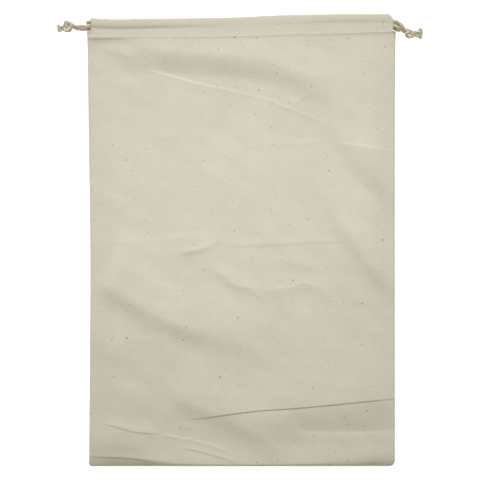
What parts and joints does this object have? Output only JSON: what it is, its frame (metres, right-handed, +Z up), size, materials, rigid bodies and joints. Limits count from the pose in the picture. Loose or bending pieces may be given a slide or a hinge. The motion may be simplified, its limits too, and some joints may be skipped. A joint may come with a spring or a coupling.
{
  "type": "ham bag",
  "caption": "Flat unbleached muslin drawstring bag for a whole ham, with a hemmed casing along the mouth and a cotton drawcord knotted at each side.",
  "frame": {"origin": "on the resting surface, under the middle of the sewn bag's outline", "axes": "+X to the right and +Y from the bottom seam to the mouth, as seen from above; +Z up out of the front panel"},
  "size_m": [0.4832, 0.5983, 0.0196],
  "materials": {
    "muslin": "unbleached plain weave, matt, with seed flecks",
    "cotton_cord": "soft twisted cotton, matt"
  },
  "bodies": {
    "root": {"front_panel": "muslin", "back_panel": "muslin", "drawcord_left": "cotton_cord", "drawcord_right": "cotton_cord"}
  },
  "joints": []
}
